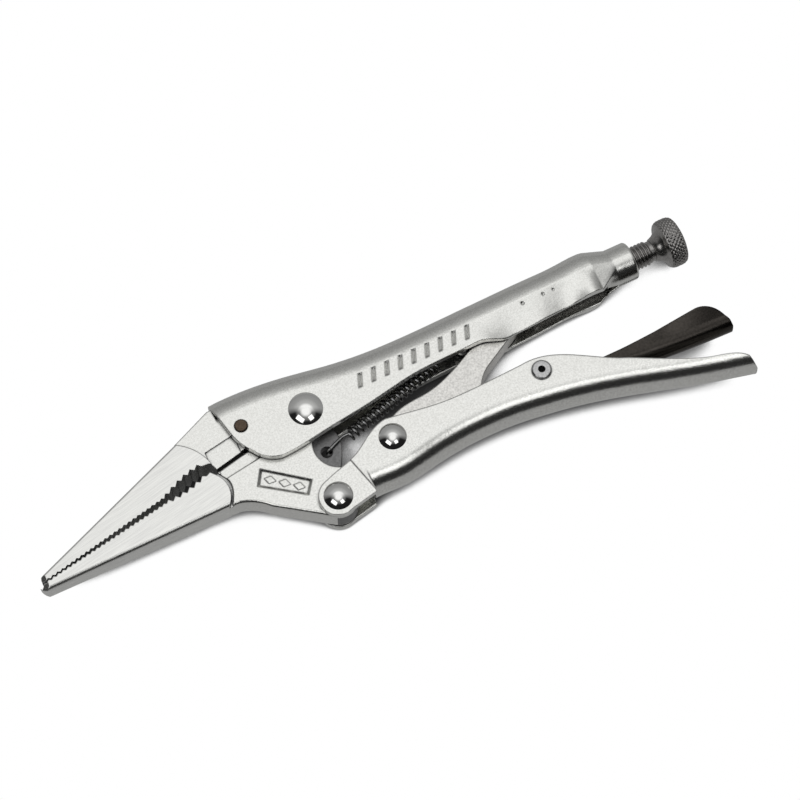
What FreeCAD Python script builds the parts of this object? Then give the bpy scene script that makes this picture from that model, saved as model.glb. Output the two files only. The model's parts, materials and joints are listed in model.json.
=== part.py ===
import FreeCAD, Part
import math
import os

# Long-nose locking pliers, millimetres.
# Working frame: X runs along the adjusting screw, from the jaws (-X) to the knob (+X);
# Y is across the tool, with the fixed handle on +Y and the swinging handle on -Y;
# Z is along the pivots. The screw axis is Y = 0, and the main pivot is at X = 0.
# Every sub-part is moved at the end, so that the origin is the bottom centre of the whole.

# Overall sizes
JAW_REACH = 95.9           # main pivot to the tip of the nose
FIXED_LENGTH = 115.2       # main pivot to the rear end of the neck
SWING_LENGTH = 133.1       # main pivot to the rear end of the swinging handle
TAIL_LENGTH = 62.1         # lever pivot to the end of the lever's tail
CHANNEL_WIDTH = 15.0       # outside width of both pressed handles
SHEET = 2.7                # sheet thickness of both handles

# Pivots, in the working frame with the jaws closed
MAIN_PIVOT = (0.0, -3.4)
HANDLE_PIVOT = (-3.0, -33.2)
LINK_PIVOT = (20.1, -23.2)
LEVER_PIVOT = (71.0, -23.65)
LINK_NOSE = (69.5, -3.6)
RETAINING_PIN = (-20.2, 0.2)

# Jaws
JAW_SIDE_GAP = 0.2         # between the swinging jaw and each channel wall
NOSE_HALF_REAR = 5.5       # half thickness of the ground nose, at its rear
NOSE_HALF_TIP = 3.9        # half thickness of the ground nose, at its tip
NOSE_REAR = -32.0          # where the ground faces end
NECK_SLOT = 1.2            # gap between the two jaw necks
TIP_GAP = 0.5              # gap between the closed jaws at the tip
BOSS_RADIUS = 7.6          # round of the swinging jaw about the main pivot
BOSS_GAP = 0.4             # between that round and the fixed jaw
BOSS_CHAMFER = 1.0         # edge of that round, clear of the channel's rounded back
JAW_FOOT_RADIUS = 5.9      # round of the swinging jaw about the handle pivot
FINE_PITCH = 1.7
FINE_DEPTH = 0.6
COARSE_PITCH = 2.6
COARSE_DEPTH = 1.15
GROOVE_WIDTH = 1.3         # groove behind the swinging jaw's ground faces
GROOVE_DEPTH = 0.9
NOSE_ROUND = 1.9           # rounding of the nose's lower long edges
NOSE_TOP_ROUND = 0.8       # rounding of the nose's upper long edges
JAW_EDGE_ROUND = 1.4       # rounding of the swinging jaw's lower edges, behind the nose
TIP_BEVEL = 2.8            # bevel of the nose's end, towards each ground face
TAB_HALF = 1.5             # half thickness of the spring tab on the swinging jaw
PANEL_DEPTH = 0.9          # depth of the sunk panel on the swinging jaw
MARKS = 9                  # slanting grip marks on the fixed handle
MARK_PITCH = 4.6
DOTS = 4                   # dots behind them
DOT_PITCH = 3.6

# Rivets and pins
RUN_GAP = 0.05             # radial clearance of a piece that turns on a rivet
SEAT_GAP = 0.01            # radial clearance of a piece that a rivet holds still
DOME_HEIGHT = 2.0
MAIN_SHANK = 8.0
MAIN_HEAD = 10.8
HANDLE_SHANK = 6.4
HANDLE_HEAD = 9.1
LINK_SHANK = 6.0
LINK_HEAD = 8.7
LEVER_SHANK = 4.6
LEVER_HEAD = 6.4
LEVER_RIVET_BORE = 2.2
LEVER_HEAD_HEIGHT = 1.0
PIN_DIAMETER = 4.0

# Link, spring, screw and lever
LINK_SIDE_GAP = 0.8        # between the link and each wall of the handles
LINK_EYE_RADIUS = 6.2
LINK_NOSE_RADIUS = 3.4
SPRING_WIRE = 1.0
SPRING_OUTER = 4.5
SPRING_PITCH = 1.95
SPRING_FRONT = (0.6, -17.0)
SPRING_REAR = (54.0, -2.5)
SPRING_LEAD = 9.0          # hook length between each anchor and the coil
HOOK_RADIUS = 2.2
HOOK_HOLE = 3.6
ANCHOR_HALF = 1.3          # half thickness of the tab that holds the spring's rear hook
THREAD_DIAMETER = 7.9
THREAD_PITCH = 1.25
THREAD_DEPTH = 0.62
THREAD_GAP = 0.12          # radial clearance of the thread in the neck
NECK_DIAMETER = 12.5
SCREW_TIP_GAP = 3.2        # open space between the link's nose and the screw
KNOB_DIAMETER = 16.1
KNOB_LENGTH = 6.0
KNOB_FRONT = FIXED_LENGTH + 11.1
KNOB_BORE = 6.0
KNOB_BOSS = 3.6            # length of the knob's conical front boss
SHANK_TAPER = 4.0          # length over which the screw tapers down into the knob
BOSS_GAP_INSIDE = 0.15     # between that taper and the boss, at the boss's front
STOP_RING_GAP = 0.3        # between the stop ring and each wall of the fixed handle
STOP_RING_THICKNESS = 1.2
LEVER_SHEET = 1.8
LEVER_SIDE_GAP = 0.4       # between the lever and each wall of the swinging handle
TAIL_WIDTH = 14.6
EAR_STEP = 0.3             # how far the ears sit below the handle's side faces
HANDLE_END_ROUND = 14.0    # rounding across the swinging handle's end
TAIL_END_ROUND = 16.0      # rounding across the end of the lever's tail

# Sizes that follow
HALF = CHANNEL_WIDTH / 2.0
INNER_HALF = HALF - SHEET
JAW_HALF = INNER_HALF - JAW_SIDE_GAP
NOSE_LENGTH = JAW_REACH + NOSE_REAR
LEVER_HALF = INNER_HALF - LEVER_SIDE_GAP
BORE_RADIUS = THREAD_DIAMETER / 2.0 + THREAD_GAP
SCREW_TIP = LINK_NOSE[0] + LINK_NOSE_RADIUS + SCREW_TIP_GAP
FAR = 40.0                 # well beyond the object, for cutting solids
NOTCH_END = 8.2            # where the swinging handle's web starts, behind its two ears
BEND_START = 59.5          # where the fixed handle's walls start to bend in
LIP_START = 67.5           # where they have bent in fully
LIP_LEAN = 3.9             # how far each wall has bent in, at the level of the loft floor
LOFT_FLOOR = -20.0         # level that both handle lofts run down to, before they are cut
INNER_LEAN = 0.5           # the same lean, on the inside
NECK_FLOOR = -7.4          # lower edge of the walls at the neck taper
NECK_TAPER = FIXED_LENGTH - 14.0
NECK_START = FIXED_LENGTH - 7.2


def vec(x, y, z=0.0):
    return FreeCAD.Vector(x, y, z)


def flat(start, *steps):
    """A face in the XY plane. A step is a point (a straight side), a pair of points
    (an arc through the first to the second) or three or more (a smooth curve)."""
    edges = []
    here = vec(*start)
    for step in steps:
        if not isinstance(step[0], tuple):
            there = vec(*step)
            edges.append(Part.LineSegment(here, there).toShape())
        elif len(step) == 2:
            there = vec(*step[1])
            edges.append(Part.Arc(here, vec(*step[0]), there).toShape())
        else:
            there = vec(*step[-1])
            curve = Part.BSplineCurve()
            curve.interpolate([here] + [vec(*point) for point in step])
            edges.append(curve.toShape())
        here = there
    if here.distanceToPoint(vec(*start)) > 1e-6:
        edges.append(Part.LineSegment(here, vec(*start)).toShape())
    return Part.Face(Part.Wire(edges))


def slab(face, low, high):
    """The face, moved to Z = low and extruded to Z = high."""
    moved = face.copy()
    moved.translate(vec(0, 0, low))
    return moved.extrude(vec(0, 0, high - low))


def rod(centre, radius, low, high):
    """A round bar along Z."""
    return Part.makeCylinder(radius, high - low, vec(centre[0], centre[1], low))


def bar(radius, start, end):
    """A round bar along X, on the screw axis."""
    return Part.makeCylinder(radius, end - start, vec(start, 0, 0), vec(1, 0, 0))


def block(x0, x1, y0, y1, z0, z1):
    return Part.makeBox(x1 - x0, y1 - y0, z1 - z0, vec(x0, y0, z0))


def polar(centre, radius, degrees):
    turn = math.radians(degrees)
    return (centre[0] + radius * math.cos(turn), centre[1] + radius * math.sin(turn))


def solid_of(shape):
    """The one solid that a finished piece is."""
    clean = shape.removeSplitter()
    if len(clean.Solids) != 1:
        print("solids:", len(clean.Solids), [round(s.Volume, 1) for s in clean.Solids])
    return max(clean.Solids, key=lambda solid: solid.Volume)


def u_section(x, half, crown, floor, side, rim_half=None):
    """A closed U section across X: a half round at the crown, and straight sides to the
    floor. side is +1 where the crown is at +Y and -1 where it is at -Y."""
    rim = half if rim_half is None else rim_half
    centre = crown - side * half
    points = [vec(x, floor, -rim), vec(x, centre, -half), vec(x, centre, half), vec(x, floor, rim)]
    top = vec(x, crown, 0)
    edges = [
        Part.LineSegment(points[0], points[1]).toShape(),
        Part.Arc(points[1], top, points[2]).toShape(),
        Part.LineSegment(points[2], points[3]).toShape(),
        Part.LineSegment(points[3], points[0]).toShape(),
    ]
    return Part.Wire(edges)


def tube_section(x, radius):
    """A circle across X, in the same four edges as u_section."""
    side = radius * math.sin(math.radians(25))
    reach = radius * math.cos(math.radians(25))
    edges = [
        Part.Arc(vec(x, -side, -reach), vec(x, -side / 2, -math.sqrt(radius**2 - side**2 / 4)),
                 vec(x, 0, -radius)).toShape(),
        Part.Arc(vec(x, 0, -radius), vec(x, radius, 0), vec(x, 0, radius)).toShape(),
        Part.Arc(vec(x, 0, radius), vec(x, -side / 2, math.sqrt(radius**2 - side**2 / 4)),
                 vec(x, -side, reach)).toShape(),
        Part.Arc(vec(x, -side, reach), vec(x, -radius, 0), vec(x, -side, -reach)).toShape(),
    ]
    return Part.Wire(edges)


# ---------------------------------------------------------------- fixed handle

def rear_x(share):
    """X of a place along the straight rear of the handle, from the bend to the neck taper."""
    return LIP_START + share * (NECK_TAPER - LIP_START)


def fixed_crown():
    """Outer back of the fixed handle, as (x, y), from its front to its neck taper."""
    return [(-29.0, 12.1), (-21.0, 12.8), (-12.0, 12.5), (0.0, 11.1), (12.0, 9.1), (24.0, 7.8),
            (40.0, 7.4), (56.0, 7.7), (BEND_START, 7.78), (63.5, 7.85), (LIP_START, 7.93),
            (rear_x(0.37), 8.15), (rear_x(0.73), 8.4), (NECK_TAPER, 8.6)]


def lower_edge_face():
    """Side view of the fixed handle's walls, open at the top."""
    return flat(
        (-26.2, FAR), (-26.2, 9.4), (-25.2, 4.6),
        [(-24.2, -0.5), (-23.1, -4.1), (-21.6, -6.8), (-20.3, -8.5)],
        [(-18.0, -11.5), (-12.6, -14.0)],
        [(-8.5, -13.8), (2.0, -12.3), (19.9, -9.9), (34.9, -7.4), (48.0, -6.7), (57.8, -6.4)],
        [(61.5, -7.2), (65.0, -8.5), (LIP_START + 1.5, -8.6)],
        [(rear_x(0.31), -8.2), (rear_x(0.67), -7.5), (NECK_TAPER, NECK_FLOOR)],
        (FIXED_LENGTH, NECK_FLOOR), (FIXED_LENGTH, FAR))


def leaning(x, half, lean):
    """Half width at the loft's floor: the walls bend in by the lean, behind BEND_START."""
    share = min(1.0, max(0.0, (x - BEND_START) / (LIP_START - BEND_START)))
    return half - lean * share * share * (3 - 2 * share)


def channel_loft(half, sink, floor, lean):
    """The handle's outside, or its inside where sink is the sheet's thickness."""
    sections = [u_section(x, half, y - sink, floor, 1, leaning(x, half, lean)) for x, y in fixed_crown()]
    return Part.makeLoft(sections, True)


def channel():
    outer = channel_loft(HALF, 0.0, LOFT_FLOOR, LIP_LEAN)
    inner = channel_loft(INNER_HALF, SHEET, LOFT_FLOOR - 1, INNER_LEAN)
    return outer.cut(inner).common(slab(lower_edge_face(), -FAR, FAR))


def wall_at(level, half, crown, lean):
    """Half width of a leaning wall at that level, at the neck taper."""
    centre = crown - half
    return half - lean * (centre - level) / (centre - LOFT_FLOOR)


def neck():
    crown = fixed_crown()[-1][1]
    inside = crown - SHEET
    sill = NECK_FLOOR - 1.0
    rim = wall_at(NECK_FLOOR, HALF, crown, LIP_LEAN)
    hollow_rim = wall_at(sill, INNER_HALF, inside, INNER_LEAN)
    taper = Part.makeLoft([u_section(NECK_TAPER, HALF, crown, NECK_FLOOR, 1, rim),
                           tube_section(NECK_START, NECK_DIAMETER / 2)], True)
    hollow = Part.makeLoft([u_section(NECK_TAPER, INNER_HALF, inside, sill, 1, hollow_rim),
                            tube_section(NECK_START, BORE_RADIUS)], True)
    tube = bar(NECK_DIAMETER / 2, NECK_START, FIXED_LENGTH)
    rim_edges = [edge for edge in tube.Edges
                 if abs(edge.BoundBox.XMin - FIXED_LENGTH) < 1e-6 and edge.BoundBox.XLength < 1e-6]
    tube = tube.makeFillet(0.9, rim_edges)
    return taper.cut(hollow).fuse(tube.cut(bar(BORE_RADIUS, NECK_START - 1, FIXED_LENGTH + 1)))


def pocket(points, level, depth):
    """A pocket with sloping walls, sunk from Z = level. The points are its floor's corners."""
    floor = Part.makePolygon([vec(*point) for point in points] + [vec(*points[0])])
    above = 0.2
    mouth = floor.makeOffset2D(depth + above, 2)
    floor.translate(vec(0, 0, level - depth))
    mouth.translate(vec(0, 0, level + above))
    return Part.makeLoft([floor, mouth], True, True)


def stamped_marks():
    """A row of slanting grip marks and a row of dots, sunk in the handle's near side."""
    depth = 0.65
    cuts = []
    for step in range(MARKS):
        x = 18.4 + step * MARK_PITCH
        mark = [(x, -3.8), (x + 1.4, -0.4), (x + 1.55, -0.4), (x + 0.15, -3.8)]
        cuts.append(pocket(mark, HALF, depth))
    for step in range(DOTS):
        place = vec(76.0 + step * DOT_PITCH, -1.0, HALF - depth)
        cuts.append(Part.makeCone(0.3, 1.1, depth + 0.1, place))
    return Part.makeCompound(cuts)


def spring_anchor():
    """The tab that hangs from the channel's back and holds the spring's rear hook."""
    x, y = SPRING_REAR
    root = 6.6
    tab = flat((x - 3.0, root), (x - 3.0, y), [(x, y - 3.0), (x + 3.0, y)], (x + 3.0, root))
    plate = slab(tab, -ANCHOR_HALF, ANCHOR_HALF)
    return plate.cut(rod((x, y), HOOK_HOLE / 2, -FAR, FAR))


def fixed_handle():
    body = channel().fuse([neck(), spring_anchor()])
    gap_half = wall_at(NECK_FLOOR, INNER_HALF, fixed_crown()[-1][1] - SHEET, INNER_LEAN)
    seam_half = 0.4
    body = body.cut(slab_seam(gap_half, seam_half))
    body = body.cut(rod(MAIN_PIVOT, MAIN_SHANK / 2 + SEAT_GAP, -FAR, FAR))
    body = body.cut(rod(RETAINING_PIN, PIN_DIAMETER / 2 + SEAT_GAP, -FAR, FAR))
    return solid_of(body.cut(stamped_marks()))


def slab_seam(gap_half, seam_half):
    """The narrow seam under the neck, which widens into the channel's open bottom."""
    low = -FAR
    points = [vec(NECK_TAPER - 0.01, low, -gap_half), vec(NECK_START, low, -seam_half),
              vec(FIXED_LENGTH + 1, low, -seam_half), vec(FIXED_LENGTH + 1, low, seam_half),
              vec(NECK_START, low, seam_half), vec(NECK_TAPER - 0.01, low, gap_half)]
    face = Part.Face(Part.makePolygon(points + [points[0]]))
    return face.extrude(vec(0, FAR - BORE_RADIUS * 0.6, 0))


# ---------------------------------------------------------------- jaws

def nose_x(share):
    """X of a place along the nose: 0 at the rear of the ground faces, 1 at the tip."""
    return NOSE_REAR - share * NOSE_LENGTH


def parting(x, upper):
    """Y of the tooth line of one jaw, from the tip to the coarse teeth."""
    share = (NOSE_REAR - x) / NOSE_LENGTH
    middle = -7.55 - 11.3 * share
    open_by = TIP_GAP + 1.9 * max(0.0, 1.0 - share / 0.88)
    return middle + (0.5 if upper else -0.5) * open_by


def teeth(x_start, x_end, pitch, depth, height):
    """Zigzag points from x_start to x_end: height(x) is the mean line."""
    count = max(2, int(round(abs(x_end - x_start) / pitch)))
    step = (x_end - x_start) / count
    points = []
    for index in range(count):
        x = x_start + index * step
        points.append((x, height(x) + depth / 2))
        points.append((x + step / 2, height(x + step / 2) - depth / 2))
    return points


def bite_upper(x):
    """Mean line of the upper coarse teeth, a shallow hollow."""
    share = (x - nose_x(0.28)) / (NOSE_REAR - 3.0 - nose_x(0.28))
    return parting(nose_x(0.28), True) + 0.3 + 4.3 * math.sin(math.pi * 0.52 * share)


def bite_lower(x):
    share = (x - nose_x(0.28)) / (NOSE_REAR - 3.0 - nose_x(0.28))
    return parting(nose_x(0.28), False) - 0.1 * math.sin(math.pi * share) + 3.4 * share**2


def jaw_teeth(upper):
    """Tooth points of one jaw, from the tip backwards."""
    change = nose_x(0.28)
    fine = teeth(nose_x(0.975), change, FINE_PITCH, FINE_DEPTH, lambda x: parting(x, upper))
    bite = bite_upper if upper else bite_lower
    coarse = teeth(change, NOSE_REAR - 3.0, COARSE_PITCH, COARSE_DEPTH, bite)
    return fine + coarse


def wedge():
    """The space between the two ground faces, which taper to a bevelled tip."""
    rear = NOSE_HALF_REAR
    tip = NOSE_HALF_TIP
    x0 = NOSE_REAR + 1.0
    x1 = -JAW_REACH + TIP_BEVEL
    x2 = -JAW_REACH - 0.5
    blunt = tip - TIP_BEVEL
    points = [vec(x0, 0, rear), vec(x1, 0, tip), vec(x2, 0, blunt)]
    points += [vec(x2, 0, -blunt), vec(x1, 0, -tip), vec(x0, 0, -rear)]
    face = Part.Face(Part.makePolygon(points + [points[0]]))
    face.translate(vec(0, -FAR, 0))
    return face.extrude(vec(0, 2 * FAR, 0))


def long_edges_rounded(body, radius):
    """The body with its two lengthwise edges, one on each ground face, rounded."""
    edges = [edge for edge in body.Edges if edge.BoundBox.XLength > 0.7 * NOSE_LENGTH]
    return body.makeFillet(radius, edges)


def upper_nose():
    tip = -JAW_REACH + 1.2
    tooth_points = jaw_teeth(True)
    face = flat(
        (-41.0, 4.2), (tip + 0.3, -16.4), (tip, -17.2), (tip, parting(tip, True)),
        *tooth_points, (NOSE_REAR - 1.9, -6.0), (NOSE_REAR - 1.2, -6.4),
        [(NOSE_REAR - 3.2, -1.5), (-41.0, 4.2)])
    body = slab(face, -FAR, FAR).common(wedge())
    return long_edges_rounded(body, NOSE_TOP_ROUND)


def neck_line(x, upper):
    """The neck slot, which slopes up to the boss of the swinging jaw."""
    rear = -6.5 + (x + 21.0) * 0.212
    return rear + (NECK_SLOT / 2 if upper else -NECK_SLOT / 2)


def upper_jaw():
    """The fixed jaw: its tang fills the channel and ends around the boss."""
    reach = BOSS_RADIUS + BOSS_GAP
    cx, cy = MAIN_PIVOT
    slot_y = neck_line(-11.0, True)
    lift = slot_y - cy
    first = (cx - math.sqrt(reach**2 - lift**2), slot_y)
    under = 0.15
    back = [(x, y - SHEET - under) for x, y in fixed_crown()[:4]]
    tang_end = 4.0
    arc_end = (tang_end, cy + math.sqrt(reach**2 - (tang_end - cx) ** 2))
    top_end = (tang_end, 10.5 - SHEET - under)
    neck_face = flat(
        (-41.0, 4.2), [(NOSE_REAR - 3.2, -1.5), (NOSE_REAR - 1.2, -6.4)],
        (NOSE_REAR - 0.4, neck_line(NOSE_REAR - 0.4, True)),
        (-23.0, neck_line(-23.0, True)), first,
        [polar(MAIN_PIVOT, reach, 125), arc_end], top_end,
        back[3], back[2], (-22.0, back[1][1] - 0.1), (-27.6, 9.9))
    body = slab(neck_face, -INNER_HALF, INNER_HALF)
    round_top = Part.makeLoft([u_section(x, INNER_HALF, y - SHEET - 0.02, -25.0, 1)
                               for x, y in fixed_crown()[:6]], True)
    inside = body.common(round_top)
    ahead = body.common(block(-60, -26.0, -FAR, FAR, -FAR, FAR))
    tang = inside.common(block(-26.0, FAR, -FAR, FAR, -FAR, FAR)).fuse(ahead)
    step_face = flat((NOSE_REAR - 1.8, neck_line(NOSE_REAR, True) - 2),
                     (NOSE_REAR - 1.6, -2.1), (-23.4, -0.4), (-23.4, neck_line(-23.4, True) - 2))
    thin = JAW_HALF - 0.5
    steps = slab(step_face, thin, FAR).fuse(slab(step_face, -FAR, -thin))
    tang = tang.cut(steps)
    whole = tang.fuse(upper_nose())
    return solid_of(whole.cut(rod(RETAINING_PIN, PIN_DIAMETER / 2 + SEAT_GAP, -FAR, FAR)))


def lower_nose():
    tip = -JAW_REACH
    tooth_points = jaw_teeth(False)
    side = -21.4
    start = (NOSE_REAR - 2.2, side)
    face = flat(
        start, (tip + 2.6, side), [(tip + 0.8, side + 0.9), (tip, side + 2.4)],
        (tip + 0.4, parting(tip, False) - 0.6), (tip + 1.1, parting(tip, False) - 0.1),
        *tooth_points, (NOSE_REAR - 2.8, -8.7), (NOSE_REAR - 1.8, -9.9),
        [(NOSE_REAR + 0.2, -13.6), start])
    body = slab(face, -FAR, FAR).common(wedge())
    return long_edges_rounded(body, NOSE_ROUND)


def sunk_panel():
    """A sunk panel with sloping walls and three raised lozenges, on both sides of the jaw."""
    corners = [(-20.3, -15.0), (-8.6, -24.2), (-10.8, -27.2), (-22.6, -18.7)]
    middle = (sum(p[0] for p in corners) / 4, sum(p[1] for p in corners) / 4)
    along = (12.7 / 16.23, -10.1 / 16.23)
    across = (0.622, 0.783)
    cut = pocket(corners, JAW_HALF, PANEL_DEPTH)
    for place in (-4.6, 0.0, 4.6):
        cx = middle[0] + along[0] * place
        cy = middle[1] + along[1] * place
        points = []
        for u, v in ((1.9, 0), (0, 1.3), (-1.9, 0), (0, -1.3)):
            points.append((cx + along[0] * u + across[0] * v, cy + along[1] * u + across[1] * v))
        cut = cut.cut(slab(flat(*points), 0, JAW_HALF - PANEL_DEPTH + 0.3))
    return cut.fuse(cut.mirror(vec(0, 0, 0), vec(0, 0, 1)))


def nose_groove():
    """A groove that sets the swinging jaw's ground faces off from its neck, on both sides.
    It is cut from the neck alone, so it reaches ahead of where the nose begins."""
    line = [(NOSE_REAR - 1.8, -9.9), (NOSE_REAR + 0.2, -13.6), (NOSE_REAR - 2.2, -21.4)]
    above = (NOSE_REAR - 3.2, -8.0)
    below = (NOSE_REAR - 3.6, -24.0)
    ahead = -1.5
    front = [(x + ahead, y) for x, y in [above] + line + [below]]
    back = [(x + GROOVE_WIDTH, y) for x, y in reversed([above] + line + [below])]
    cut = slab(flat(front[0], front[1:], back[0], back[1:]), JAW_HALF - GROOVE_DEPTH, FAR)
    return cut.fuse(cut.mirror(vec(0, 0, 0), vec(0, 0, 1)))


def lower_jaw():
    """The swinging jaw: nose, neck, boss about the main pivot, foot about the handle
    pivot, and a thin tab with the hole for the spring's hook."""
    reach = BOSS_RADIUS
    cx, cy = MAIN_PIVOT
    fx, fy = HANDLE_PIVOT
    drop = neck_line(-8.0, False) - cy
    boss_start = (cx - math.sqrt(reach**2 - drop**2), neck_line(-8.0, False))
    foot_left = polar(HANDLE_PIVOT, JAW_FOOT_RADIUS, 234)
    foot_right = polar(HANDLE_PIVOT, JAW_FOOT_RADIUS, 0)
    tip = (1.9, -24.2)
    face = flat(
        (NOSE_REAR - 1.8, -9.9), (NOSE_REAR + 0.4, neck_line(NOSE_REAR + 0.4, False)),
        boss_start, [(cx, cy + reach), polar(MAIN_PIVOT, reach, -58)], (-2.3, -12.6),
        [(-3.1, -18.2), tip], foot_right, [(fx, fy - JAW_FOOT_RADIUS), foot_left],
        (-22.4, -26.7), [(-27.2, -22.9), (-30.6, -21.6)], (NOSE_REAR - 2.2, -21.4),
        [(NOSE_REAR + 0.2, -13.6), (NOSE_REAR - 1.8, -9.9)])
    body = slab(face, -JAW_HALF, JAW_HALF)
    rounds = [edge for edge in body.Edges
              if edge.BoundBox.ZLength < 1e-6 and edge.BoundBox.YMax > cy + reach - 0.01]
    body = body.makeChamfer(BOSS_CHAMFER, rounds)
    under = [edge for edge in body.Edges if edge.BoundBox.ZLength < 1e-6
             and edge.BoundBox.YMax < -21.0 and edge.BoundBox.XMax < foot_left[0] + 0.1]
    body = body.makeFillet(JAW_EDGE_ROUND, under)
    tab = flat((-6.0, -11.0), (5.0, -10.0), [(5.9, -16.0), (4.6, -19.6), (1.9, -24.2)], (-4.5, -22.0))
    body = body.fuse(slab(tab, -TAB_HALF, TAB_HALF))
    lip = flat((NOSE_REAR, neck_line(NOSE_REAR, False) + 3), (NOSE_REAR, -12.6), (-17.4, -10.5),
               (-12.0, -9.6), (-12.0, neck_line(-12.0, False) + 3))
    thin = JAW_HALF - 0.5
    body = body.cut(slab(lip, thin, FAR).fuse(slab(lip, -FAR, -thin)))
    body = body.cut(sunk_panel()).cut(nose_groove())
    body = body.cut(rod(MAIN_PIVOT, MAIN_SHANK / 2 + RUN_GAP, -FAR, FAR))
    body = body.cut(rod(HANDLE_PIVOT, HANDLE_SHANK / 2 + RUN_GAP, -FAR, FAR))
    body = body.cut(rod(SPRING_FRONT, HOOK_HOLE / 2, -FAR, FAR))
    return solid_of(body.fuse(lower_nose()))


# ---------------------------------------------------------------- swinging handle and link

def swing_crown():
    """Outer bottom of the swinging handle, as (x, y), from its notch to its end."""
    span = SWING_LENGTH - NOTCH_END
    shares = [(-0.02, -36.6), (0.079, -36.4), (0.177, -34.7), (0.256, -33.5), (0.315, -33.2),
              (0.384, -33.4), (0.453, -34.3), (0.561, -36.5), (0.659, -39.4), (0.763, -43.2),
              (0.862, -46.8), (0.984, -50.6), (1.0, -51.1)]
    return [(NOTCH_END + share * span, y) for share, y in shares]


def swing_face():
    """Side view of the swinging handle's walls and ears."""
    ear = HALF - 1.4
    fx, fy = HANDLE_PIVOT
    lx, ly = LINK_PIVOT
    end = SWING_LENGTH
    return flat(
        polar(HANDLE_PIVOT, ear, 102),
        [(1.5, -25.4), (7.3, -23.5), (12.4, -20.3), (lx + 0.3, ly + 6.2)],
        [(26.5, -17.9), (37.0, -19.5), (50.0, -19.85), (66.0, -19.25)],
        [(76.0, -20.4), (84.5, -24.6), (97.0, -31.5)],
        [(105.3, -35.8), (113.0, -39.6), (end - 9.4, -43.2)],
        [(end - 4.9, -44.7), (end - 1.8, -46.7), (end, -49.7)],
        [(end - 0.9, -52.0), (end - 3.2, -53.6)], (end - 3.2, -FAR - 20), (NOTCH_END, -FAR - 20),
        (NOTCH_END, -37.0), (6.0, -37.4), (0.0, -38.6), (fx + 0.6, fy - ear),
        [polar(HANDLE_PIVOT, ear, 180), polar(HANDLE_PIVOT, ear, 102)])


def rounded_end(end, radius):
    """All that lies ahead of a round end, whose axis is along Y."""
    ball = Part.makeCylinder(radius, 2 * FAR, vec(end - radius, -2 * FAR, 0), vec(0, 1, 0))
    return ball.fuse(block(-FAR, end - radius, -2 * FAR, 0, -radius, radius))


def lower_handle():
    outer = Part.makeLoft([u_section(x, HALF, y, -10.0, -1) for x, y in swing_crown()], True)
    inner = Part.makeLoft([u_section(x, INNER_HALF, y + SHEET, -9.0, -1) for x, y in swing_crown()], True)
    side = slab(swing_face(), -FAR, FAR)
    web = outer.cut(inner).common(side).common(block(NOTCH_END, 200, -60, 0, -FAR, FAR))
    ears = side.common(block(-20, NOTCH_END, -60, 0, -HALF, HALF))
    ears = ears.cut(block(-20, NOTCH_END, -60, 0, -INNER_HALF, INNER_HALF))
    stepped = flat((-20, -10), (NOTCH_END - 3.0, -10), (NOTCH_END - 3.0, -24.3), (NOTCH_END, -36.2),
                   (NOTCH_END, -60), (-20, -60))
    step = HALF - EAR_STEP
    ears = ears.cut(slab(stepped, step, FAR).fuse(slab(stepped, -FAR, -step)))
    body = web.common(rounded_end(SWING_LENGTH, HANDLE_END_ROUND)).fuse(ears)
    for place, size in ((HANDLE_PIVOT, HANDLE_SHANK), (LINK_PIVOT, LINK_SHANK), (LEVER_PIVOT, LEVER_SHANK)):
        body = body.cut(rod(place, size / 2 + SEAT_GAP, -FAR, FAR))
    return solid_of(body)


def toggle_link():
    """Flat link from the swinging handle to the tip of the adjusting screw."""
    nx, ny = LINK_NOSE
    face = flat(
        polar(LINK_PIVOT, LINK_EYE_RADIUS, 75),
        [(30.0, -14.2), (36.7, -13.6), (44.0, -11.6), (52.0, -8.0), polar(LINK_NOSE, LINK_NOSE_RADIUS, 118)],
        [polar(LINK_NOSE, LINK_NOSE_RADIUS, 20), polar(LINK_NOSE, LINK_NOSE_RADIUS, -58)],
        (nx - 11.4, ny - 10.1), [(nx - 14.7, ny - 12.6), (nx - 17.4, ny - 16.6)],
        [(nx - 19.5, ny - 19.2), (nx - 23.0, ny - 19.9)],
        polar(LINK_PIVOT, LINK_EYE_RADIUS, -78),
        [polar(LINK_PIVOT, LINK_EYE_RADIUS, 180), polar(LINK_PIVOT, LINK_EYE_RADIUS, 75)])
    half = INNER_HALF - LINK_SIDE_GAP
    body = slab(face, -half, half)
    return solid_of(body.cut(rod(LINK_PIVOT, LINK_SHANK / 2 + RUN_GAP, -FAR, FAR)))


def trough(stations, top):
    """A U channel open at +Y. A station is its X, its half width at Y = -26 and its floor."""
    outer = []
    inner = []
    for x, rim, floor in stations:
        slope = (rim - LEVER_HALF) / (-26.0 - floor - LEVER_HALF)
        reach = LEVER_HALF + slope * (top - floor - LEVER_HALF)
        outer.append(u_section(x, LEVER_HALF, floor, top, -1, reach))
        hollow = LEVER_HALF - LEVER_SHEET
        inner.append(u_section(x, hollow, floor + LEVER_SHEET, top + 1, -1, reach + slope - LEVER_SHEET))
    return Part.makeLoft(outer, True).cut(Part.makeLoft(inner, True))


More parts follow.
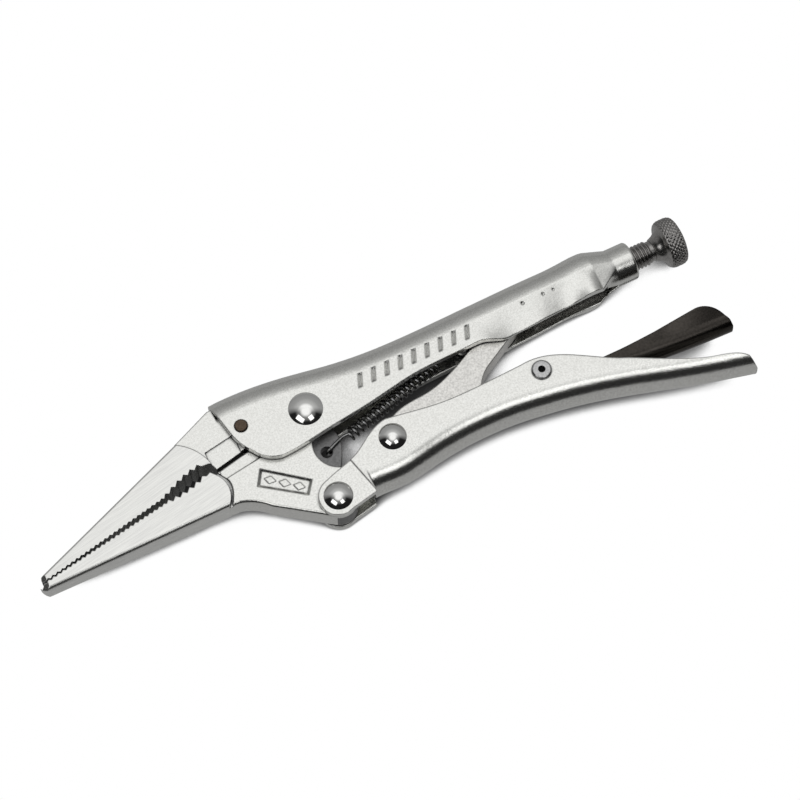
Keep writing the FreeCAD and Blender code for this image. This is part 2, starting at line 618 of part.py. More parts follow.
def release_lever():
    """A pressed trough: its front fits inside the swinging handle, and its tail flares."""
    px, py = LEVER_PIVOT
    end = px + TAIL_LENGTH
    wide = TAIL_WIDTH / 2
    front = [(px - 19.0, LEVER_HALF, -29.3), (px, LEVER_HALF, -29.6), (px + 14.0, LEVER_HALF, -31.3),
             (px + 26.0, LEVER_HALF, -33.0)]
    tail = [(px + 26.0, LEVER_HALF, -33.0), (px + 36.0, LEVER_HALF + 0.9, -34.0),
            (px + 46.0, wide - 0.7, -34.8), (px + 54.0, wide, -35.2), (end + 1.0, wide, -35.5)]
    body = trough(front, -18.0).fuse(trough(tail, -25.0))
    face = flat(
        (px - 18.0, -28.0), (px - 18.0, -26.0), [(px - 14.0, -24.6), (px - 5.0, -21.0)],
        (px + 2.0, -20.8), [(px + 9.0, -23.6), (px + 19.0, -27.0)],
        (px + 26.0, -27.0), (px + 38.0, -26.7), (end - 9.6, -25.9),
        [(end - 6.0, -26.7), (end - 2.9, -28.9), (end - 0.9, -32.0), (end, -34.0)],
        [(end - 1.0, -36.2), (end - 3.0, -37.5)], (px - 18.0, -37.5))
    body = body.common(slab(face, -FAR, FAR)).common(rounded_end(end, TAIL_END_ROUND))
    return solid_of(body.cut(rod(LEVER_PIVOT, LEVER_SHANK / 2 + RUN_GAP, -FAR, FAR)))


# ---------------------------------------------------------------- rivets and pins

def domed_rivet(place, shank, head):
    """A rivet with a domed head on each side of the handles."""
    body = rod(place, shank / 2, -HALF, HALF)
    radius = (head**2 / 4 + DOME_HEIGHT**2) / (2 * DOME_HEIGHT)
    base = HALF - EAR_STEP if place == HANDLE_PIVOT else HALF
    for side in (1, -1):
        ball = Part.makeSphere(radius, vec(place[0], place[1], side * (base + DOME_HEIGHT - radius)))
        low, high = sorted((side * base, side * (base + DOME_HEIGHT + 1)))
        body = body.fuse(ball.common(rod(place, head, low, high)))
    return solid_of(body)


def hollow_rivet():
    body = rod(LEVER_PIVOT, LEVER_SHANK / 2, -HALF, HALF)
    for low in (HALF, -HALF - LEVER_HEAD_HEIGHT):
        head = rod(LEVER_PIVOT, LEVER_HEAD / 2, low, low + LEVER_HEAD_HEIGHT)
        rim_z = low + LEVER_HEAD_HEIGHT if low > 0 else low
        rims = [edge for edge in head.Edges
                if abs(edge.BoundBox.ZMin - rim_z) < 1e-6 and edge.BoundBox.ZLength < 1e-6]
        body = body.fuse(head.makeFillet(LEVER_HEAD_HEIGHT * 0.7, rims))
    return solid_of(body.cut(rod(LEVER_PIVOT, LEVER_RIVET_BORE / 2, -FAR, FAR)))


def retaining_pin():
    head = 0.5
    pin = rod(RETAINING_PIN, PIN_DIAMETER / 2, -HALF - head, HALF + head)
    rims = [edge for edge in pin.Edges
            if abs(abs(edge.BoundBox.ZMin) - HALF - head) < 1e-6 and edge.BoundBox.ZLength < 1e-6]
    return solid_of(pin.makeFillet(0.35, rims))


# ---------------------------------------------------------------- adjusting screw

def adjusting_screw():
    """A threaded rod with a domed tip, a groove for the stop ring and a plain end for
    the knob. The thread is drawn as one groove for each pitch."""
    outer = THREAD_DIAMETER / 2
    root = outer - THREAD_DEPTH
    tip = SCREW_TIP
    dome = 1.6
    groove = tip + 3.0
    first = groove + STOP_RING_THICKNESS + 1.0
    last = KNOB_FRONT - SHANK_TAPER - 0.6
    points = [(tip, 0.0), (tip, 1.6)]
    points += [(tip + dome, root), (groove, root), (groove, root - 0.5)]
    far_side = groove + STOP_RING_THICKNESS
    points += [(far_side, root - 0.5), (far_side, root), (first, root)]
    count = int((last - first) / THREAD_PITCH)
    for index in range(count):
        x = first + index * THREAD_PITCH
        points.append((x + 0.45 * THREAD_PITCH, outer))
        points.append((x + 0.6 * THREAD_PITCH, outer))
        points.append((x + THREAD_PITCH, root))
    shank = KNOB_BORE / 2
    end = KNOB_FRONT + KNOB_LENGTH - 0.6
    points += [(last + 0.6, root), (KNOB_FRONT, shank), (end, shank), (end, 0.0)]
    wire = Part.makePolygon([vec(x, y) for x, y in points] + [vec(*points[0])])
    return solid_of(Part.Face(wire).revolve(vec(0, 0, 0), vec(1, 0, 0), 360))


def adjusting_knob():
    """Knurled head with a conical front boss, bored for the screw's plain end."""
    radius = KNOB_DIAMETER / 2
    front = KNOB_FRONT
    back = KNOB_FRONT + KNOB_LENGTH
    seat = KNOB_BORE / 2
    root = THREAD_DIAMETER / 2 - THREAD_DEPTH
    mouth = seat + (root - seat) * KNOB_BOSS / SHANK_TAPER + BOSS_GAP_INSIDE
    points = [(front - KNOB_BOSS, mouth), (front - KNOB_BOSS, mouth + 0.25)]
    points += [(front - 0.2, mouth + 1.95), (front, radius - 1.0)]
    points += [(front + 0.9, radius - 0.25), (back - 1.1, radius)]
    points += [(back - 0.3, radius - 0.8), (back, radius - 2.0)]
    points += [(back, 0.0), (back - 0.6, 0.0), (back - 0.6, seat), (front, seat)]
    wire = Part.makePolygon([vec(x, y) for x, y in points] + [vec(*points[0])])
    return solid_of(Part.Face(wire).revolve(vec(0, 0, 0), vec(1, 0, 0), 360))


def screw_stop_ring():
    root = THREAD_DIAMETER / 2 - THREAD_DEPTH
    back = dict(fixed_crown())[LIP_START] - SHEET
    radius = min(INNER_HALF, back) - STOP_RING_GAP
    start = SCREW_TIP + 3.0
    ring = bar(radius, start, start + STOP_RING_THICKNESS)
    ring = ring.cut(bar(root - 0.5 + RUN_GAP, start - 1, start + STOP_RING_THICKNESS + 1))
    split = block(start - 1, start + STOP_RING_THICKNESS + 1, 0, FAR, -0.8, 0.8)
    return solid_of(ring.cut(split))


# ---------------------------------------------------------------- spring

def jaw_spring():
    """Extension spring: a coil between two hooks, along the line from tab to tab."""
    front = vec(*SPRING_FRONT)
    rear = vec(*SPRING_REAR)
    span = rear.sub(front)
    length = span.Length
    wire_radius = SPRING_WIRE / 2
    mean = (SPRING_OUTER - SPRING_WIRE) / 2
    coil_length = length - 2 * SPRING_LEAD
    helix = Part.makeHelix(SPRING_PITCH, coil_length, mean)
    path = helix.Edges[0]
    start = path.valueAt(path.FirstParameter)
    ring = Part.Wire(Part.makeCircle(wire_radius, start, path.tangentAt(path.FirstParameter)))
    coil = Part.Wire(helix).makePipeShell([ring], True, True)
    coil.translate(vec(0, 0, SPRING_LEAD))
    pieces = [coil]
    turn = 2 * math.pi * coil_length / SPRING_PITCH
    for end, sign, angle in ((0.0, 1, 0.0), (length, -1, turn)):
        centre = end + sign * HOOK_RADIUS
        edge_x = HOOK_RADIUS
        coil_end = end + sign * SPRING_LEAD
        join = vec(mean * math.cos(angle), mean * math.sin(angle), coil_end)
        hook = Part.Arc(vec(-edge_x, 0, centre), vec(0, 0, end), vec(edge_x, 0, centre)).toShape()
        leg = Part.LineSegment(vec(edge_x, 0, centre), join).toShape()
        ring = Part.Wire(Part.makeCircle(wire_radius, vec(-edge_x, 0, centre), vec(0, 0, 1)))
        pieces.append(Part.Wire([hook]).makePipeShell([ring], True, True))
        leg_start = vec(edge_x, 0, centre)
        ring = Part.Wire(Part.makeCircle(wire_radius, leg_start, join.sub(leg_start)))
        pieces.append(Part.Wire([leg]).makePipeShell([ring], True, True))
        pieces.append(Part.makeSphere(wire_radius, join))
        pieces.append(Part.makeSphere(wire_radius, vec(edge_x, 0, centre)))
    spring = pieces[0].fuse(pieces[1:])
    tilt = math.degrees(math.atan2(span.y, span.x))
    spring.rotate(vec(0, 0, 0), vec(0, 1, 0), 90)
    spring.rotate(vec(0, 0, 0), vec(0, 0, 1), tilt)
    spring.translate(front)
    return solid_of(spring)


PARTS = {
    "fixed_handle": fixed_handle,
    "upper_jaw": upper_jaw,
    "jaw_retaining_pin": retaining_pin,
    "main_pivot_rivet": lambda: domed_rivet(MAIN_PIVOT, MAIN_SHANK, MAIN_HEAD),
    "lower_jaw": lower_jaw,
    "handle_pivot_rivet": lambda: domed_rivet(HANDLE_PIVOT, HANDLE_SHANK, HANDLE_HEAD),
    "lower_handle": lower_handle,
    "toggle_link": toggle_link,
    "link_rivet": lambda: domed_rivet(LINK_PIVOT, LINK_SHANK, LINK_HEAD),
    "release_lever": release_lever,
    "release_lever_rivet": hollow_rivet,
    "adjusting_screw": adjusting_screw,
    "adjusting_knob": adjusting_knob,
    "screw_stop_ring": screw_stop_ring,
    "jaw_spring": jaw_spring,
}


def main():
    os.makedirs("parts", exist_ok=True)
    shapes = {name: make() for name, make in PARTS.items()}
    box = FreeCAD.BoundBox()
    for shape in shapes.values():
        box.add(shape.optimalBoundingBox(False))
    origin = vec((box.XMin + box.XMax) / 2, (box.YMin + box.YMax) / 2, box.ZMin)
    print("size", round(box.XLength, 3), round(box.YLength, 3), round(box.ZLength, 3))
    print("origin in the working frame", round(origin.x, 4), round(origin.y, 4), round(origin.z, 4))
    for name, shape in shapes.items():
        shape.translate(origin.negative())
        print(name, shape.isValid(), len(shape.Solids), round(shape.Volume, 1))
        shape.exportStep("parts/" + name + ".step")


main()
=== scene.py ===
import json
import math

import bpy
from mathutils import Matrix, Vector

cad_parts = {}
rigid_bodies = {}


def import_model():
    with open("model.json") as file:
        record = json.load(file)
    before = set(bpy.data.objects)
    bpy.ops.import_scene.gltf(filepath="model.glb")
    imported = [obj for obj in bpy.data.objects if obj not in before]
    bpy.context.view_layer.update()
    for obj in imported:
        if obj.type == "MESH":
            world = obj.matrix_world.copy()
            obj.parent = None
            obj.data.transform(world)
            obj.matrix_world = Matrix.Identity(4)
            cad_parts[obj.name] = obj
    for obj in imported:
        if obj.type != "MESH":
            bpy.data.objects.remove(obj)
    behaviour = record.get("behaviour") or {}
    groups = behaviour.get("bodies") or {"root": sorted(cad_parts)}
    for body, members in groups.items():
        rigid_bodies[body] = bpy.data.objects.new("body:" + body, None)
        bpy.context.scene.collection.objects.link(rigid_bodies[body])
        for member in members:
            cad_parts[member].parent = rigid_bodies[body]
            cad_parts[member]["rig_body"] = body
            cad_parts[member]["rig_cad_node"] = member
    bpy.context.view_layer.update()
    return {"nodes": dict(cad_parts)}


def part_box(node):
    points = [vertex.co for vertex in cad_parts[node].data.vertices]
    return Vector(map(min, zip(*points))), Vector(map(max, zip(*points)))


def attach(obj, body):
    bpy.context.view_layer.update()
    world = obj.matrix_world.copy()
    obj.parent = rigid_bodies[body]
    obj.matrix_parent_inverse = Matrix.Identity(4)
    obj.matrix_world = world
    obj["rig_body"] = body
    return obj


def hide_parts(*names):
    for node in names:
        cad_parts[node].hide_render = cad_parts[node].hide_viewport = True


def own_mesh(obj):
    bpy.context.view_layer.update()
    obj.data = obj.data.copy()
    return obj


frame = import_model()

MM = 0.001
EDGE_SAMPLES = 8
CREASE_SHADE_SAMPLES = 8


def middle(name):
    low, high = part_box(name)
    return (low + high) / 2


# The screw's axis is Y = 0 and Z = 0 in the pliers' own axes, and the main pivot is at X = 0
CENTRE = Vector((middle("main_pivot_rivet").x, middle("adjusting_knob").y, middle("adjusting_knob").z))


def row(x, y, z=0.0):
    """A point in the pliers' own axes, in millimetres, as a point of the row frame in metres."""
    return CENTRE + Vector((x, y, z)) * MM


# ---------------------------------------------------------------- materials

def new_material(name, colour, metallic, roughness):
    mat = bpy.data.materials.new(name)
    mat.use_nodes = True
    shader = mat.node_tree.nodes["Principled BSDF"]
    shader.inputs["Base Color"].default_value = (*colour, 1)
    shader.inputs["Metallic"].default_value = metallic
    shader.inputs["Roughness"].default_value = roughness
    return mat


def link(mat, source, target):
    mat.node_tree.links.new(source, target)


def soft_edges(mat, radius):
    """Edges look rounded to that radius, in metres."""
    shader = mat.node_tree.nodes["Principled BSDF"]
    bevel = mat.node_tree.nodes.new("ShaderNodeBevel")
    bevel.samples = EDGE_SAMPLES
    bevel.inputs["Radius"].default_value = radius
    link(mat, bevel.outputs["Normal"], shader.inputs["Normal"])


def ramp(mat, low_at, low, high_at, high):
    made = mat.node_tree.nodes.new("ShaderNodeValToRGB")
    made.color_ramp.elements[0].position = low_at
    made.color_ramp.elements[0].color = (*low, 1)
    made.color_ramp.elements[1].position = high_at
    made.color_ramp.elements[1].color = (*high, 1)
    return made


def noise(mat, scale, longer=1.0, turn=0.0, detail=3.0):
    """Noise in the object's own axes; its spots can be longer along a direction, turned from X."""
    place = mat.node_tree.nodes.new("ShaderNodeTexCoord")
    stretched = mat.node_tree.nodes.new("ShaderNodeMapping")
    stretched.vector_type = "TEXTURE"
    stretched.inputs["Rotation"].default_value = (0, 0, turn)
    stretched.inputs["Scale"].default_value = (longer, 1, 1)
    made = mat.node_tree.nodes.new("ShaderNodeTexNoise")
    made.inputs["Scale"].default_value = scale
    made.inputs["Detail"].default_value = detail
    made.inputs["Roughness"].default_value = 0.6
    link(mat, place.outputs["Object"], stretched.inputs["Vector"])
    link(mat, stretched.outputs["Vector"], made.inputs["Vector"])
    return made


def grain(mat, height, **how):
    """Surface grain as bump, over whatever normal the shader has already."""
    shader = mat.node_tree.nodes["Principled BSDF"]
    made = noise(mat, **how)
    bump = mat.node_tree.nodes.new("ShaderNodeBump")
    bump.inputs["Strength"].default_value = 1.0
    bump.inputs["Distance"].default_value = height
    link(mat, made.outputs["Fac"], bump.inputs["Height"])
    earlier = shader.inputs["Normal"].links
    if earlier:
        link(mat, earlier[0].from_socket, bump.inputs["Normal"])
    link(mat, bump.outputs["Normal"], shader.inputs["Normal"])
    return made


def multiply(mat, first, second):
    mixed = mat.node_tree.nodes.new("ShaderNodeMix")
    mixed.data_type = "RGBA"
    mixed.blend_type = "MULTIPLY"
    mixed.inputs["Factor"].default_value = 1.0
    link(mat, first, mixed.inputs[6])
    link(mat, second, mixed.inputs[7])
    return mixed.outputs[2]


def tint_and_shade_creases(mat, noise_node, low, high, reach, dark=(0.10, 0.10, 0.11)):
    """Base colour that varies with the grain, with painted shade: it darkens in creases narrower than
    reach, by ambient occlusion.
    """
    shader = mat.node_tree.nodes["Principled BSDF"]
    shades = ramp(mat, 0.35, low, 0.65, high)
    link(mat, noise_node.outputs["Fac"], shades.inputs["Fac"])
    # painted shade: ambient occlusion multiplies the base colour towards dark in creases and recesses
    crease = mat.node_tree.nodes.new("ShaderNodeAmbientOcclusion")
    crease.samples = CREASE_SHADE_SAMPLES
    crease.inputs["Distance"].default_value = reach
    depth = ramp(mat, 0.35, dark, 0.8, (1, 1, 1))
    link(mat, crease.outputs["AO"], depth.inputs["Fac"])
    colour = multiply(mat, shades.outputs["Color"], depth.outputs["Color"])
    link(mat, colour, shader.inputs["Base Color"])


def satin_nickel(name, edge, coarse):
    """Nickel plate over sheet or forged steel, with a fine grain that sparkles."""
    mat = new_material(name, (0.80, 0.80, 0.77), 1.0, 0.22)
    soft_edges(mat, edge)
    grain(mat, coarse, scale=450, detail=2.0)
    fine = grain(mat, 0.000018, scale=1900)
    # painted shade: creases narrower than 1.6 mm darken almost to black
    tint_and_shade_creases(mat, fine, (0.72, 0.72, 0.69), (0.86, 0.86, 0.83), 0.0016, dark=(0.04, 0.04, 0.05))
    return mat


def ground_nickel():
    """Belt-ground faces: fine lines along the nose."""
    mat = new_material("ground_nickel", (0.82, 0.82, 0.80), 1.0, 0.27)
    soft_edges(mat, 0.0004)
    lines = grain(mat, 0.000003, scale=2200, longer=30.0, turn=0.175)
    # painted shade: creases narrower than 1.2 mm darken
    tint_and_shade_creases(mat, lines, (0.76, 0.76, 0.74), (0.88, 0.88, 0.85), 0.0012)
    return mat


def plain_metal(name, colour, roughness, height=0.000006, edge=0.0003, reach=0.001, spread=0.18):
    """Bare or plated metal with a faint grain. spread is how far its shades differ; lengths in metres."""
    mat = new_material(name, colour, 1.0, roughness)
    if edge:
        soft_edges(mat, edge)
    fine = grain(mat, height, scale=1500)
    low = tuple(c * (1 - spread) for c in colour)
    high = tuple(min(1.0, c * (1 + spread)) for c in colour)
    # painted shade: creases narrower than reach darken
    tint_and_shade_creases(mat, fine, low, high, reach)
    return mat


MATERIALS = {
    "satin_nickel": satin_nickel("satin_nickel", 0.0007, 0.000035),
    "forged_nickel": satin_nickel("forged_nickel", 0.0006, 0.00006),
    # painted shade: dark grey for the recessed spring tab, which lies in shadow
    "spring_tab_painted_shade": plain_metal("spring_tab_painted_shade", (0.20, 0.20, 0.20), 0.4, edge=0.0006),
    "ground_nickel": ground_nickel(),
    "bright_rivet": plain_metal("bright_rivet", (0.86, 0.86, 0.84), 0.09, height=0.0, edge=0,
                                reach=0.0005, spread=0.01),
    "pin_steel": plain_metal("pin_steel", (0.10, 0.075, 0.055), 0.35),
    "link_steel": plain_metal("link_steel", (0.76, 0.75, 0.72), 0.32, edge=0.0008),
    "dark_lever": plain_metal("dark_lever", (0.050, 0.045, 0.040), 0.25, edge=0.0006),
    "gunmetal": plain_metal("gunmetal", (0.36, 0.35, 0.34), 0.24, reach=0.0006),
    "spring_steel": plain_metal("spring_steel", (0.30, 0.30, 0.30), 0.16, edge=0),
    "hollow_rivet": plain_metal("hollow_rivet", (0.5, 0.5, 0.5), 0.25),
}

NODE_SLOT = {
    "fixed_handle": "satin_nickel",
    "upper_jaw": "forged_nickel",
    "jaw_retaining_pin": "pin_steel",
    "main_pivot_rivet": "bright_rivet",
    "lower_jaw": "forged_nickel",
    "handle_pivot_rivet": "bright_rivet",
    "lower_handle": "satin_nickel",
    "toggle_link": "link_steel",
    "link_rivet": "bright_rivet",
    "release_lever": "dark_lever",
    "release_lever_rivet": "hollow_rivet",
    "adjusting_screw": "gunmetal",
    "adjusting_knob": "gunmetal",
    "screw_stop_ring": "gunmetal",
    "jaw_spring": "spring_steel",
}

for name, obj in frame["nodes"].items():
    if not obj.data.materials:
        obj.data.materials.append(None)
    for index in range(len(obj.data.materials)):
        obj.data.materials[index] = MATERIALS[NODE_SLOT[name]]


# ---------------------------------------------------------------- pieces that stand for CAD nodes

def add_piece(name, points, faces, body, slot, node):
    """A smooth mesh that rides on a body and stands for that CAD node."""
    data = bpy.data.meshes.new(name)
    data.from_pydata([tuple(point) for point in points], [], faces)
    data.polygons.foreach_set("use_smooth", [True] * len(data.polygons))
    data.materials.append(MATERIALS[slot])
    obj = bpy.data.objects.new(name, data)
    bpy.context.scene.collection.objects.link(obj)
    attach(obj, body)
    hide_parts(node)
    return obj


def turned(profile, columns, radius_at=None):
    """Points and faces of a solid of revolution on the screw's axis. The profile is a list
    of (x, radius), and radius_at(x, radius, angle) can vary the radius."""
    points = []
    for x, radius in profile:
        for column in range(columns):
            angle = 2 * math.pi * column / columns
            here = radius_at(x, radius, angle) if radius_at else radius
            points.append(row(x, here * math.cos(angle), here * math.sin(angle)))
    faces = []
    for line in range(len(profile) - 1):
        for column in range(columns):
            after = (column + 1) % columns
            low = line * columns
            high = low + columns
            faces.append((low + column, low + after, high + after, high + column))
    faces.append(tuple(reversed(range(columns))))
    faces.append(tuple(range(len(points) - columns, len(points))))
    return points, faces


def sweep(path, radius, sides=12):
    """Points and faces of a round wire along a path of points in the row frame."""
    points = []
    side = Vector((0, 0, 1))
    for index, here in enumerate(path):
        before = path[max(0, index - 1)]
        after = path[min(len(path) - 1, index + 1)]
        along = (after - before).normalized()
        side = (side - along * side.dot(along)).normalized()
        other = along.cross(side)
        for step in range(sides):
            angle = 2 * math.pi * step / sides
            points.append(here + (side * math.cos(angle) + other * math.sin(angle)) * radius)
    faces = []
    for line in range(len(path) - 1):
        for step in range(sides):
            after = (step + 1) % sides
            low = line * sides
            faces.append((low + step, low + sides + step, low + sides + after, low + after))
    faces.append(tuple(range(sides)))
    faces.append(tuple(reversed(range(len(points) - sides, len(points)))))
    return points, faces


def smooth(value, start, end):
    """0 before the start and 1 after the end, with a smooth step between."""
    share = min(1.0, max(0.0, (value - start) / (end - start)))
    return share * share * (3 - 2 * share)


def adjusting_screw():
    """M8 x 1.25 screw with a true helical thread."""
    pitch = 1.25
    depth = 0.62
    low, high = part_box("adjusting_screw")
    tip = (low.x - CENTRE.x) / MM
    end = (high.x - CENTRE.x) / MM
    outer = (high.y - CENTRE.y) / MM
    root = outer - depth
    thread_start = tip + 5.2
    thread_end = end - 10.0
    profile = [(tip, 0.4), (tip, 1.6), (tip + 0.8, 2.7), (tip + 1.6, root), (tip + 2.9, root),
               (tip + 3.0, root - 0.5), (tip + 4.2, root - 0.5), (tip + 4.3, root)]
    rows_per_turn = 10
    columns = 48
    steps = int((thread_end - thread_start) / pitch * rows_per_turn)
    for step in range(steps + 1):
        profile.append((thread_start + (thread_end - thread_start) * step / steps, root))
    profile += [(thread_end + 0.6, root), (end - 5.4, 3.0), (end, 2.98)]

    def threaded(x, radius, angle):
        share = (x / pitch - angle / (2 * math.pi)) % 1.0
        crest = min(1.0, 1.35 * (1 - abs(2 * share - 1)))
        fade_in = smooth(x, thread_start, thread_start + pitch)
        fade_out = 1 - smooth(x, thread_end - pitch, thread_end)
        return radius + depth * crest * (fade_in * fade_out)

    points, faces = turned(profile, columns, threaded)
    return add_piece("screw_with_thread", points, faces, "screw", "gunmetal", "adjusting_screw")


def adjusting_knob():
    """The screw's head, with a diamond knurl round its rim."""
    low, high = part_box("adjusting_knob")
    back = (high.x - CENTRE.x) / MM
    rim = (high.y - CENTRE.y) / MM
    width = 6.0
    front = back - width
    knurls = 34
    depth = 0.40
    profile = [(front - 3.6, 3.35), (front - 3.5, 3.7), (front - 2.0, 4.3), (front - 0.6, 5.3),
               (front - 0.1, 6.0), (front, rim - 1.0), (front + 0.2, rim - 0.65)]
    rows = 34
    columns_per_knurl = 7
    edge_drop = 0.55
    knurl_start = front + 0.35
    knurl_end = back - 0.55
    for line in range(rows + 1):
        share = line / rows
        crown = edge_drop * abs(2 * share - 1) ** 4
        profile.append((knurl_start + (knurl_end - knurl_start) * share, rim - crown))
    profile += [(back - 0.3, rim - 1.0), (back, rim - 1.9), (back, 0.3)]
    axial = 2 * math.pi * rim / knurls
    margin = 0.01

    def knurled(x, radius, angle):
        if x < knurl_start - margin or x > knurl_end + margin:
            return radius
        turn = knurls * angle / (2 * math.pi)
        first = (turn + x / axial) % 1.0
        second = (turn - x / axial) % 1.0
        height = min(1 - abs(2 * first - 1), 1 - abs(2 * second - 1))
        return radius - depth * (1 - min(1.0, 1.5 * height))

    points, faces = turned(profile, knurls * columns_per_knurl, knurled)
    return add_piece("knurled_knob", points, faces, "screw", "gunmetal", "adjusting_knob")


# The centres of the two hook holes, in the pliers' own axes
SPRING_FRONT = (0.6, -17.0)
SPRING_REAR = (54.0, -2.5)


def jaw_spring():
    """Extension spring between the swinging jaw's tab and the fixed handle's tab."""
    front = row(*SPRING_FRONT)
    rear = row(*SPRING_REAR)
    along = (rear - front).normalized()
    across = Vector((-along.y, along.x, 0))
    up = Vector((0, 0, 1))
    length = (rear - front).length / MM
    wire = 0.5
    mean = 1.75
    lead = 9.0
    pitch = 1.95
    hook = 2.1

    def at(s, n, z):
        """A point s along the spring from its front anchor, n across it and z up, in millimetres."""
        return front + (along * s + across * n + up * z) * MM

    half_turn = 12
    path = [at(hook + 2.4, 0.3, -1.9), at(hook + 1.0, 0.1, -hook)]
    for step in range(half_turn + 1):
        angle = math.pi * (-0.5 + step / half_turn)
        path.append(at(hook - hook * math.cos(angle), 0, hook * math.sin(angle)))
    path += [at(4.4, 0.25, 2.05), at(6.4, 0.5, 1.85), at(8.0, 0.35, 1.78)]
    turns = (length - 2 * lead) / pitch
    per_turn = 24
    for step in range(int(turns) * per_turn + 1):
        angle = 2 * math.pi * step / per_turn
        path.append(at(lead + pitch * step / per_turn, -mean * math.sin(angle), mean * math.cos(angle)))
    last = lead + pitch * int(turns)
    path += [at(last + 1.2, 0.2, 1.85), at(length - hook - 1.0, 0, hook)]
    for step in range(half_turn + 1):
        angle = math.pi * (0.5 - step / half_turn)
        path.append(at(length - hook + hook * math.cos(angle), 0, hook * math.sin(angle)))
    points, faces = sweep(path, wire * MM)
    spring = add_piece("spring_coil", points, faces, "frame", "spring_steel", "jaw_spring")
    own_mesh(spring)
    return spring


TAB_FRONT = -6.0
TAB_TOP = -9.0
TAB_HALF = 1.7


def ground_nose(name, body, boundary):
    """A copy of a jaw: its nose, ahead of the boundary, is ground, its spring tab, which sits recessed in
    shadow, is painted dark as shade, and the rest is forged."""
    source = frame["nodes"][name]
    obj = source.copy()
    obj.data = source.data.copy()
    obj.name = name + "_finish"
    obj.parent = None
    bpy.context.scene.collection.objects.link(obj)
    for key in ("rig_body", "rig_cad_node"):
        if key in obj:
            del obj[key]
    obj.data.materials.clear()
    obj.data.materials.append(MATERIALS["forged_nickel"])
    obj.data.materials.append(MATERIALS["ground_nickel"])
    obj.data.materials.append(MATERIALS["spring_tab_painted_shade"])
    for polygon in obj.data.polygons:
        x, y, z = (polygon.center - CENTRE) / MM
        if x < boundary(y):
            polygon.material_index = 1
        # painted shade: the recessed spring tab gets the dark grey material
        elif x > TAB_FRONT and y < TAB_TOP and abs(z) < TAB_HALF:
            polygon.material_index = 2
    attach(obj, body)
    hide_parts(name)
    return obj


def upper_boundary(y):
    """X where the ground face ends, at that Y, in the pliers' own axes."""
    return -33.1 - 0.0694 * (y + 6.4) ** 2


def lower_boundary(y):
    """The same for the swinging jaw."""
    return -31.9 - 0.04 * (y + 14.0) ** 2


adjusting_screw()
adjusting_knob()
jaw_spring()
ground_nose("upper_jaw", "frame", upper_boundary)
ground_nose("lower_jaw", "jaw", lower_boundary)


# ---------------------------------------------------------------- camera, light and floor

EYE = row(-103.5, -283.0, 775.8)
TARGET = row(28.6, -10.85, 0.0)


def camera():
    data = bpy.data.cameras.new("camera")
    data.lens = 120.7
    data.sensor_width = 36.0
    data.clip_start = 0.05
    data.clip_end = 20
    obj = bpy.data.objects.new("camera", data)
    bpy.context.scene.collection.objects.link(obj)
    obj.location = EYE
    obj.rotation_euler = (TARGET - EYE).to_track_quat("-Z", "Y").to_euler()
    bpy.context.scene.camera = obj


def softbox(name, direction, distance, width, height, radiance):
    """A rectangular softbox in that direction from the object, facing it. Its width and height
    are in degrees, as the object sees it."""
    data = bpy.data.lights.new(name, "AREA")
    data.shape = "RECTANGLE"
    data.size = 2 * distance * math.tan(math.radians(width / 2))
    data.size_y = 2 * distance * math.tan(math.radians(height / 2))
    data.energy = radiance * math.pi * data.size * data.size_y
    obj = bpy.data.objects.new(name, data)
    bpy.context.scene.collection.objects.link(obj)
    towards = Vector(direction).normalized()
    obj.location = TARGET + towards * distance
    obj.rotation_euler = (-towards).to_track_quat("-Z", "Y").to_euler()


AWAY = (0.4368, 0.8996, 0.0)   # the level direction that points away from the front of the room


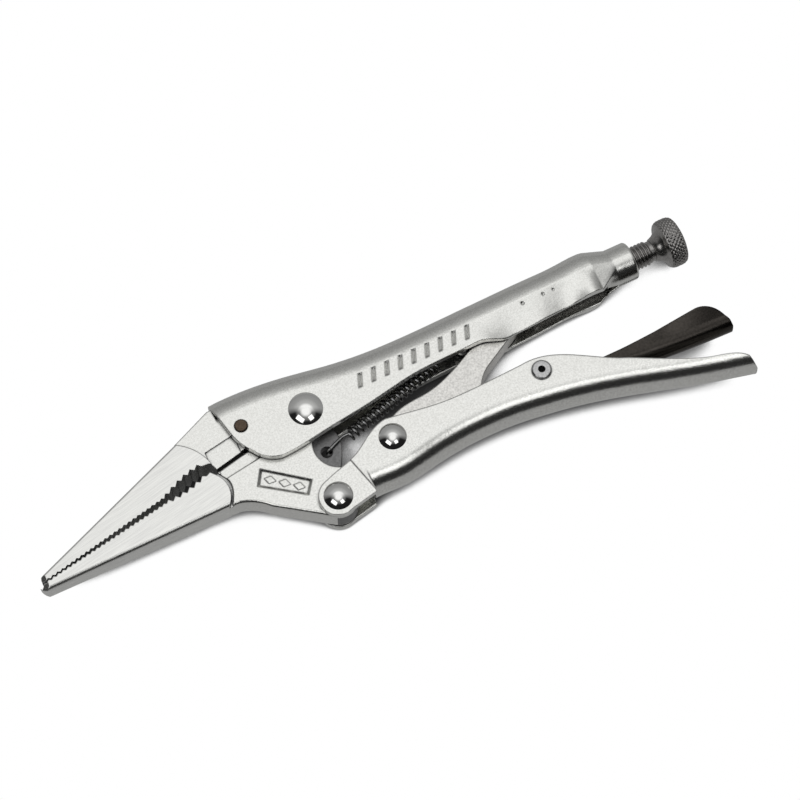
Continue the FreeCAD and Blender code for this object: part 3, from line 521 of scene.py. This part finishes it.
def surroundings():
    """A dim room under a bright ceiling: dark at the front and the sides, grey behind."""
    world = bpy.data.worlds.new("studio")
    world.use_nodes = True
    bpy.context.scene.world = world
    tree = world.node_tree
    place = tree.nodes.new("ShaderNodeTexCoord")
    split = tree.nodes.new("ShaderNodeSeparateXYZ")
    tree.links.new(place.outputs["Generated"], split.inputs[0])

    def by_height(stops):
        shades = tree.nodes.new("ShaderNodeValToRGB")
        scaled = tree.nodes.new("ShaderNodeMapRange")
        scaled.inputs["From Min"].default_value = -1
        scaled.inputs["From Max"].default_value = 1
        tree.links.new(split.outputs[2], scaled.inputs["Value"])
        tree.links.new(scaled.outputs[0], shades.inputs["Fac"])
        elements = shades.color_ramp.elements
        while len(elements) < len(stops):
            elements.new(0.5)
        for element, (height, value) in zip(elements, stops):
            element.position = (height + 1) / 2
            element.color = (value, value, value, 1)
        return shades

    front = by_height([(-1.0, 0.34), (-0.12, 0.34), (-0.02, 0.012),
                       (0.70, 0.012), (0.90, 0.25), (0.97, 1.0)])
    back = by_height([(-1.0, 0.34), (-0.10, 0.34), (0.0, 0.25),
                      (0.5, 0.32), (0.80, 0.5), (0.90, 1.0)])
    behind = tree.nodes.new("ShaderNodeVectorMath")
    behind.operation = "DOT_PRODUCT"
    behind.inputs[1].default_value = AWAY
    tree.links.new(place.outputs["Generated"], behind.inputs[0])
    side = tree.nodes.new("ShaderNodeMapRange")
    side.inputs["From Min"].default_value = -0.05
    side.inputs["From Max"].default_value = 0.35
    tree.links.new(behind.outputs["Value"], side.inputs["Value"])
    mix = tree.nodes.new("ShaderNodeMix")
    mix.data_type = "RGBA"
    tree.links.new(side.outputs[0], mix.inputs["Factor"])
    tree.links.new(front.outputs["Color"], mix.inputs[6])
    tree.links.new(back.outputs["Color"], mix.inputs[7])
    tree.links.new(mix.outputs[2], tree.nodes["Background"].inputs["Color"])
    tree.nodes["Background"].inputs["Strength"].default_value = 1.05


SHADE_SAMPLES = 48


def floor_plane(name, drop, reach, stops):
    """A glowing floor with a painted shadow: its glow darkens close to the object, by ambient occlusion
    over that reach in metres. It is hidden from shadow rays, so that the two floors don't shade each
    other."""
    bpy.ops.mesh.primitive_plane_add(size=6.0, location=(TARGET.x, TARGET.y, drop))
    plane = bpy.context.object
    plane.name = name
    mat = bpy.data.materials.new(name)
    mat.use_nodes = True
    tree = mat.node_tree
    tree.nodes.clear()
    out = tree.nodes.new("ShaderNodeOutputMaterial")
    glow = tree.nodes.new("ShaderNodeEmission")
    # painted shadow: ambient occlusion darkens the floor's glow next to the object and under it
    contact_shadow_ao = tree.nodes.new("ShaderNodeAmbientOcclusion")
    contact_shadow_ao.samples = SHADE_SAMPLES
    contact_shadow_ao.inputs["Distance"].default_value = reach
    shades = tree.nodes.new("ShaderNodeValToRGB")
    elements = shades.color_ramp.elements
    while len(elements) < len(stops):
        elements.new(0.5)
    for element, (share, value) in zip(elements, stops):
        element.position = share
        element.color = (value, value, value, 1)
    tree.links.new(contact_shadow_ao.outputs["AO"], shades.inputs["Fac"])
    tree.links.new(shades.outputs["Color"], glow.inputs["Color"])
    tree.links.new(glow.outputs[0], out.inputs["Surface"])
    plane.data.materials.append(mat)
    plane.visible_shadow = False
    return plane


def floor():
    """The pale floor that the camera sees, and a greyer one that only reflections see. Both glow, with a
    painted shadow close to the object.
    """
    seen = floor_plane("floor", -0.00005, 0.014,
                       [(0.12, 0.003), (0.32, 0.03), (0.43, 0.28), (0.51, 1.0)])
    seen.visible_glossy = False
    mirrored = floor_plane("floor_in_reflections", -0.0001, 0.015, [(0.20, 0.03), (0.50, 0.34)])
    mirrored.visible_camera = False


BOX_DISTANCE = 1.5

camera()
surroundings()
softbox("front_left", (-0.602, -0.279, 0.744), BOX_DISTANCE, 34, 20, 1.5)
softbox("front", (0.14, -0.56, 0.815), BOX_DISTANCE, 20, 20, 1.4)
floor()
bpy.context.scene.view_settings.view_transform = "Standard"
bpy.context.scene.view_settings.look = "None"
